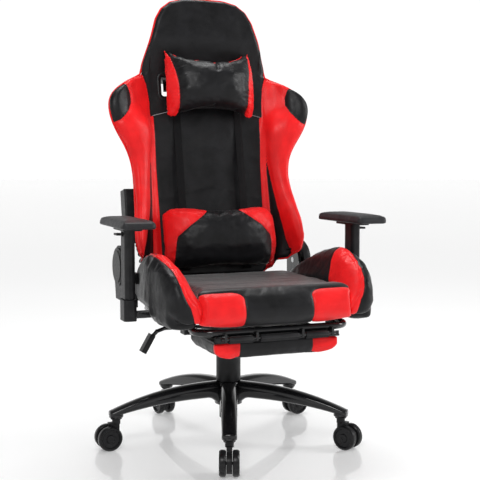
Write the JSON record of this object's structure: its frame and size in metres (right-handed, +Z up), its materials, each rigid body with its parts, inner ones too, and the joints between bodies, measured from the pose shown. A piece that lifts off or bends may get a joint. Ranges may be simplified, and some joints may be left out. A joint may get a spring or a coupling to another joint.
{
  "type": "gaming chair",
  "caption": "Racing-style swivel chair with winged reclining backrest, bolstered seat, pillows, height-adjustable armrests, pull-out footrest and caster base.",
  "frame": {"origin": "on the floor, on the axis of the gas lift", "axes": "+Z up, the chair faces -Y, the sitter's left is +X"},
  "size_m": [0.7286, 0.7219, 1.2185],
  "materials": {
    "gloss_black_steel": "gloss black powder coat",
    "lift_black": "semi-gloss black",
    "cover_plastic": "fine-grained black plastic",
    "bright_steel": "zinc-plated",
    "caster_plastic": "satin black nylon",
    "caster_wheel": "black nylon tread",
    "matte_plastic": "spark-eroded dark plastic",
    "plywood": "raw plywood",
    "armrest_pad": "matt moulded polyurethane",
    "black_upholstery": "black synthetic leather over foam",
    "red_upholstery": "red synthetic leather over foam",
    "frame_steel": "black painted tube",
    "elastic_strap": "woven black elastic"
  },
  "bodies": {
    "base": {"star_base": "gloss_black_steel", "caster_sockets": "caster_plastic", "lift_column": "lift_black", "lift_cover_lower": "cover_plastic"},
    "cover_middle": {"lift_cover_middle": "cover_plastic"},
    "lift": {"lift_piston": "bright_steel", "lift_cover_upper": "cover_plastic"},
    "mechanism": {"mech_housing": "gloss_black_steel", "rock_axle": "bright_steel", "rock_spring": "bright_steel"},
    "knob": {"tension_knob": "matte_plastic"},
    "lever_lock": {"lever_block": "matte_plastic"},
    "lever": {"lever_rod": "gloss_black_steel", "lever_paddle": "matte_plastic"},
    "seat": {"mech_plate": "gloss_black_steel", "mech_bolts": "bright_steel", "seat_pan": "plywood", "seat_cushion": "black_upholstery", "seat_bolster_left": "red_upholstery", "seat_bolster_right": "red_upholstery", "armrest_brackets": "gloss_black_steel", "armrest_sleeves": "matte_plastic", "footrest_guides": "matte_plastic", "recliner_plates": "gloss_black_steel", "recliner_pins": "bright_steel", "side_covers": "matte_plastic", "disc_caps": "matte_plastic"},
    "backrest": {"back_frame": "frame_steel", "back_foam": "black_upholstery", "back_wing_left": "red_upholstery", "back_wing_right": "red_upholstery", "back_cover": "black_upholstery", "recline_arms": "gloss_black_steel", "arm_covers": "matte_plastic", "arm_bolts": "bright_steel", "pillow_straps": "elastic_strap"},
    "lumbar": {"lumbar_pillow": "red_upholstery"},
    "headrest": {"head_pillow": "black_upholstery", "head_strap": "elastic_strap"},
    "recline_handle": {"recline_lever": "gloss_black_steel", "recline_grip": "matte_plastic"},
    "armrest_left": {"armrest_shroud_left": "matte_plastic", "armrest_pad_left": "armrest_pad"},
    "trigger_left": {"armrest_trigger_left": "matte_plastic"},
    "armrest_right": {"armrest_shroud_right": "matte_plastic", "armrest_pad_right": "armrest_pad"},
    "trigger_right": {"armrest_trigger_right": "matte_plastic"},
    "footrest": {"footrest_frame": "gloss_black_steel"},
    "footrest_pad": {"footrest_board": "matte_plastic", "footrest_cushion": "red_upholstery"},
    "caster_1": {"caster_hood_1": "caster_plastic"},
    "wheels_1": {"caster_wheels_1": "caster_wheel"},
    "caster_2": {"caster_hood_2": "caster_plastic"},
    "wheels_2": {"caster_wheels_2": "caster_wheel"},
    "caster_3": {"caster_hood_3": "caster_plastic"},
    "wheels_3": {"caster_wheels_3": "caster_wheel"},
    "caster_4": {"caster_hood_4": "caster_plastic"},
    "wheels_4": {"caster_wheels_4": "caster_wheel"},
    "caster_5": {"caster_hood_5": "caster_plastic"},
    "wheels_5": {"caster_wheels_5": "caster_wheel"}
  },
  "joints": [
    {"name": "height", "type": "slide", "parent": "base", "child": "lift", "axis": [0, 0, 1], "range_m": [0, 0.08]},
    {"name": "cover_rise", "type": "slide", "parent": "base", "child": "cover_middle", "axis": [0, 0, 1], "range_m": [0, 0.04]},
    {"name": "swivel", "type": "hinge", "parent": "lift", "child": "mechanism", "pos_m": [0, 0, 0.3], "axis": [0, 0, 1], "continuous": true},
    {"name": "rock", "type": "hinge", "parent": "mechanism", "child": "seat", "pos_m": [0, -0.06, 0.362], "axis": [-1, 0, 0], "range_deg": [0, 12], "stiffness_Nm_per_rad": 150, "springref_deg": -17.19},
    {"name": "tension_turn", "type": "hinge", "parent": "mechanism", "child": "knob", "pos_m": [0, -0.12, 0.312], "axis": [0, -1, 0], "range_deg": [0, 360]},
    {"name": "rock_lock", "type": "slide", "parent": "mechanism", "child": "lever_lock", "axis": [-1, 0, 0], "range_m": [0, 0.008]},
    {"name": "lever_lift", "type": "hinge", "parent": "lever_lock", "child": "lever", "pos_m": [-0.042, -0.048, 0.323], "axis": [0, 1, 0], "range_deg": [0, 5], "stiffness_Nm_per_rad": 2, "springref_deg": -14.32},
    {"name": "recline", "type": "hinge", "parent": "seat", "child": "backrest", "pos_m": [0, 0.12, 0.475], "axis": [-1, 0, 0], "range_deg": [-5, 60]},
    {"name": "recline_release", "type": "hinge", "parent": "seat", "child": "recline_handle", "pos_m": [-0.26, 0.12, 0.475], "axis": [-1, 0, 0], "range_deg": [0, 20], "stiffness_Nm_per_rad": 2, "springref_deg": -17.19},
    {"name": "armrest_height_left", "type": "slide", "parent": "seat", "child": "armrest_left", "axis": [0, 0, 1], "range_m": [0, 0.07]},
    {"name": "armrest_release_left", "type": "hinge", "parent": "armrest_left", "child": "trigger_left", "pos_m": [0.319, -0.125, 0.583], "axis": [0, -1, 0], "range_deg": [0, 10], "stiffness_Nm_per_rad": 0.3, "springref_deg": -11.46},
    {"name": "armrest_height_right", "type": "slide", "parent": "seat", "child": "armrest_right", "axis": [0, 0, 1], "range_m": [0, 0.07]},
    {"name": "armrest_release_right", "type": "hinge", "parent": "armrest_right", "child": "trigger_right", "pos_m": [-0.319, -0.125, 0.583], "axis": [0, 1, 0], "range_deg": [0, 10], "stiffness_Nm_per_rad": 0.3, "springref_deg": -11.46},
    {"name": "footrest_slide", "type": "slide", "parent": "seat", "child": "footrest", "axis": [0, -1, 0], "range_m": [0, 0.18]},
    {"name": "footrest_flip", "type": "hinge", "parent": "footrest", "child": "footrest_pad", "pos_m": [0, -0.355, 0.344], "axis": [-1, 0, 0], "range_deg": [0, 180]},
    {"name": "lumbar_slide", "type": "slide", "parent": "backrest", "child": "lumbar", "axis": [0, 0.1908, 0.9816], "range_m": [0, 0.1]},
    {"name": "headrest_slide", "type": "slide", "parent": "backrest", "child": "headrest", "axis": [0, 0.1908, 0.9816], "range_m": [-0.03, 0]},
    {"name": "caster_swivel_1", "type": "hinge", "parent": "base", "child": "caster_1", "pos_m": [-0.10774, -0.296, 0.07], "axis": [0, 0, 1], "continuous": true},
    {"name": "wheel_roll_1", "type": "hinge", "parent": "caster_1", "child": "wheels_1", "pos_m": [-0.11562, -0.31654, 0.0325], "axis": [0.9336, -0.3584, 0], "continuous": true},
    {"name": "caster_swivel_2", "type": "hinge", "parent": "base", "child": "caster_2", "pos_m": [0.24822, -0.19393, 0.07], "axis": [0, 0, 1], "continuous": true},
    {"name": "wheel_roll_2", "type": "hinge", "parent": "caster_2", "child": "wheels_2", "pos_m": [0.25955, -0.21279, 0.0325], "axis": [0.8572, 0.515, 0], "continuous": true},
    {"name": "caster_swivel_3", "type": "hinge", "parent": "base", "child": "caster_3", "pos_m": [0.26115, 0.17615, 0.07], "axis": [0, 0, 1], "continuous": true},
    {"name": "wheel_roll_3", "type": "hinge", "parent": "caster_3", "child": "wheels_3", "pos_m": [0.28281, 0.17997, 0.0325], "axis": [-0.1736, 0.9848, 0], "continuous": true},
    {"name": "caster_swivel_4", "type": "hinge", "parent": "base", "child": "caster_4", "pos_m": [-0.08683, 0.3028, 0.07], "axis": [0, 0, 1], "continuous": true},
    {"name": "wheel_roll_4", "type": "hinge", "parent": "caster_4", "child": "wheels_4", "pos_m": [-0.09027, 0.32453, 0.0325], "axis": [-0.9877, -0.1564, 0], "continuous": true},
    {"name": "caster_swivel_5", "type": "hinge", "parent": "base", "child": "caster_5", "pos_m": [-0.31481, 0.01099, 0.07], "axis": [0, 0, 1], "continuous": true},
    {"name": "wheel_roll_5", "type": "hinge", "parent": "caster_5", "child": "wheels_5", "pos_m": [-0.33676, 0.00946, 0.0325], "axis": [0.0698, -0.9976, 0], "continuous": true}
  ],
  "couplings": [
    {"joint": "cover_rise", "follows": "height", "ratio": 0.5}
  ]
}
